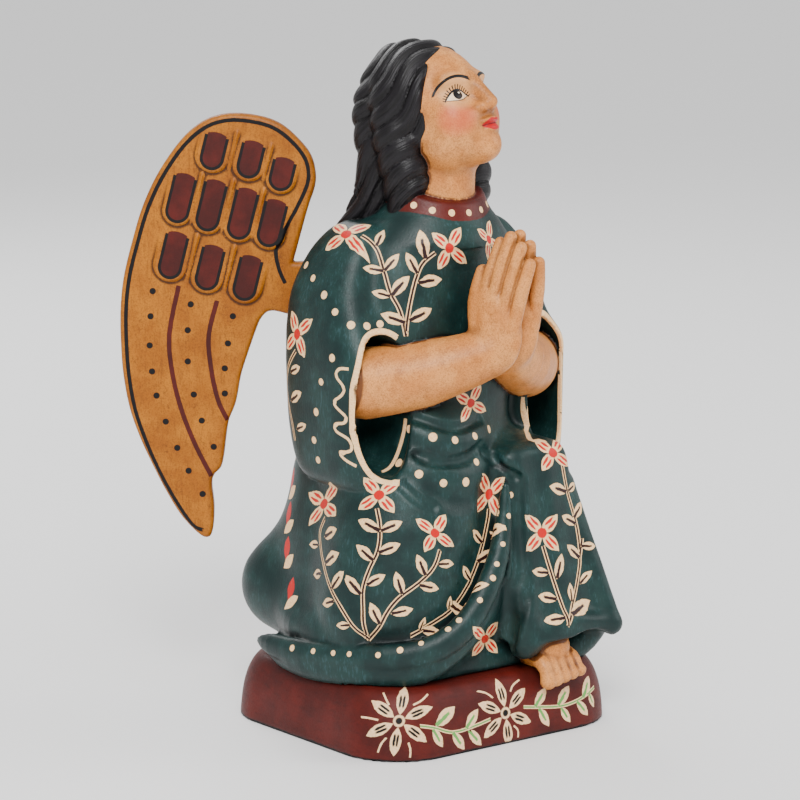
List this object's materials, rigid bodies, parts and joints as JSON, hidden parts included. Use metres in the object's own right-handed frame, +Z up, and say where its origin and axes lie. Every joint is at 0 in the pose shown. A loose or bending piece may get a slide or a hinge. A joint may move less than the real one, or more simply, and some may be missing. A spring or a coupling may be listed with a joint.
{
  "type": "wooden angel figurine",
  "caption": "Carved and painted wooden angel kneeling in prayer on a low plinth, with long hair, a wide-sleeved robe and upright wings.",
  "frame": {"origin": "middle of the plinth's flat underside", "axes": "+Z up, the figure's body faces -Y, +X is the figure's left"},
  "size_m": [0.2136, 0.177, 0.3269],
  "materials": {
    "painted_robe": "satin dark green paint with cream and red sprigs",
    "painted_plinth": "satin maroon paint with cream flowers",
    "painted_wing": "satin ochre gold paint, antiqued brown"
  },
  "bodies": {
    "root": {"figure": "painted_robe", "base": "painted_plinth", "wing_right": "painted_wing", "wing_left": "painted_wing"}
  },
  "joints": []
}
